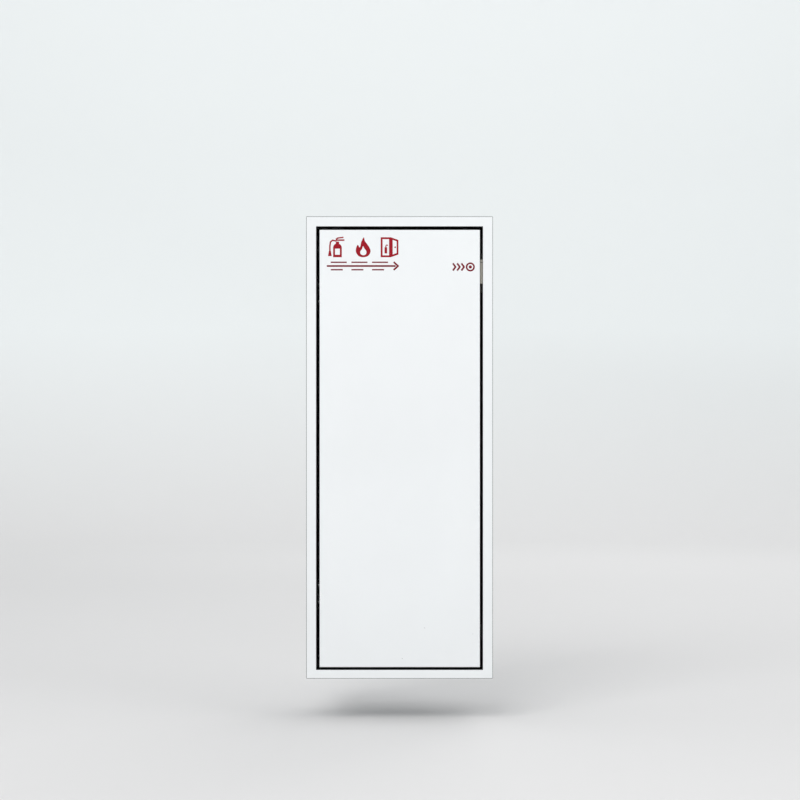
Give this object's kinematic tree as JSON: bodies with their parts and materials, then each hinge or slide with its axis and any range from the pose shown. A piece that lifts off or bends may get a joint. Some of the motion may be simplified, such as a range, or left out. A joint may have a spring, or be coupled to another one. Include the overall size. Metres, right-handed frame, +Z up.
{
  "type": "recessed fire extinguisher cabinet",
  "caption": "Flush wall cabinet with a push-to-open steel door on side hinges, holding an upright dry-powder fire extinguisher with lever, safety pin, gauge, hose and nozzle.",
  "frame": {"origin": "bottom middle of the frame flange's back, where it meets the wall's surface", "axes": "+Z up, -Y out of the wall towards the user, +Y into the wall, +X to the viewer's right"},
  "size_m": [0.28, 0.2016, 0.694],
  "materials": {
    "frame_paint": "satin white powder coat",
    "door_paint": "satin white powder coat",
    "box_steel": "galvanised sheet, fine spangle",
    "zinc_steel": "bright zinc plate",
    "latch_plastic": "moulded grey-beige nylon",
    "plunger_plastic": "moulded off-white acetal",
    "magnet_ferrite": "dark ferrite",
    "buffer_rubber": "soft black rubber",
    "bottle_paint": "glossy red enamel",
    "boot_plastic": "black moulded plastic",
    "powder": "pale pink fine powder",
    "tube_metal": "drawn tube",
    "valve_metal": "die cast, lightly blasted",
    "cap_metal": "machined, nickel-flashed",
    "seal_rubber": "nitrile",
    "grip_paint": "black satin enamel",
    "pin_yellow": "yellow moulded plastic",
    "gauge_chrome": "polished",
    "gauge_face": "printed dial, green band",
    "needle_paint": "matt black",
    "gauge_glass": "clear",
    "tube_brass": "drawn",
    "hose_rubber": "smooth black hose",
    "nozzle_plastic": "black moulded plastic",
    "spring_steel": "bright wire",
    "bracket_paint": "black satin enamel"
  },
  "bodies": {
    "cabinet": {"front_frame": "frame_paint", "box_wrap": "box_steel", "box_floor": "box_steel", "box_top": "box_steel", "lower_hinge_arm": "bracket_paint", "upper_hinge_arm": "bracket_paint", "hinge_screws": "zinc_steel", "latch_screws": "zinc_steel", "weld_nuts": "zinc_steel", "stop_brackets": "bracket_paint", "door_buffers": "buffer_rubber", "latch_housing": "latch_plastic", "latch_cap": "latch_plastic", "latch_spring": "spring_steel"},
    "door": {"door_panel": "door_paint", "door_stiffener": "box_steel", "lower_hinge_bracket": "zinc_steel", "upper_hinge_bracket": "zinc_steel", "lower_hinge_pin": "zinc_steel", "upper_hinge_pin": "zinc_steel", "hinge_washers": "zinc_steel", "bracket_studs": "zinc_steel", "bracket_nuts": "zinc_steel", "striker_plate": "zinc_steel", "striker_screws": "zinc_steel"},
    "plunger": {"latch_plunger": "plunger_plastic", "latch_magnet": "magnet_ferrite", "pole_plates": "zinc_steel"},
    "follower": {"cam_follower": "spring_steel"},
    "extinguisher": {"bottle": "bottle_paint", "boot": "boot_plastic", "powder_charge": "powder", "siphon_tube": "tube_metal", "neck_gasket": "seal_rubber", "cap_nut": "cap_metal", "valve_body": "valve_metal", "valve_spring": "spring_steel", "carry_handle": "grip_paint", "handle_rivet": "zinc_steel", "lever_pin": "zinc_steel", "gauge_case": "gauge_chrome", "gauge_nipple": "cap_metal", "bourdon_tube": "tube_brass", "gauge_dial": "gauge_face", "gauge_lens": "gauge_glass", "gauge_bezel": "gauge_chrome", "discharge_hose": "hose_rubber", "hose_fitting": "cap_metal", "hose_ferrule": "tube_metal", "nozzle": "nozzle_plastic", "nozzle_ferrule": "tube_metal", "clip_band": "grip_paint", "nozzle_clip": "grip_paint"},
    "lever": {"operating_lever": "grip_paint"},
    "stem": {"valve_stem": "tube_brass", "stem_seal": "seal_rubber"},
    "safety_pin": {"safety_pin": "pin_yellow"},
    "needle": {"gauge_needle": "needle_paint"}
  },
  "joints": [
    {"name": "door_hinge", "type": "hinge", "parent": "cabinet", "child": "door", "pos_m": [-0.1082, 0.0074, 0.3525], "axis": [0, 0, -1], "range_deg": [0, 100]},
    {"name": "plunger_slide", "type": "slide", "parent": "cabinet", "child": "plunger", "axis": [0, 1, 0], "range_m": [0, 0.003], "stiffness_N_per_m": 300, "springref_m": -0.012, "deforming": ["latch_spring"]},
    {"name": "follower_swing", "type": "hinge", "parent": "cabinet", "child": "follower", "pos_m": [0.109, 0.062, 0.6235], "axis": [0, 0, 1], "range_deg": [0, 7]},
    {"name": "extinguisher_lift", "type": "slide", "parent": "cabinet", "child": "extinguisher", "axis": [0, 0, 1], "range_m": [0, 0.08]},
    {"name": "lever_squeeze", "type": "hinge", "parent": "extinguisher", "child": "lever", "pos_m": [0.014, 0.11, 0.48], "axis": [0, -1, 0], "range_deg": [0, 14], "stiffness_Nm_per_rad": 1.5, "springref_deg": -11.46},
    {"name": "stem_push", "type": "slide", "parent": "extinguisher", "child": "stem", "axis": [0, 0, -1], "range_m": [0, 0.0042], "deforming": ["valve_spring"]},
    {"name": "safety_pin_pull", "type": "slide", "parent": "extinguisher", "child": "safety_pin", "axis": [0, 0, 1], "range_m": [0, 0.045]},
    {"name": "needle_swing", "type": "hinge", "parent": "extinguisher", "child": "needle", "pos_m": [-0.002, 0.0697, 0.44], "axis": [0, 1, 0], "range_deg": [-75, 45]}
  ],
  "couplings": [
    {"joint": "follower_swing", "follows": "plunger_slide", "rad_per_m": 40.7},
    {"joint": "stem_push", "follows": "lever_squeeze", "m_per_rad": 0.0166}
  ]
}
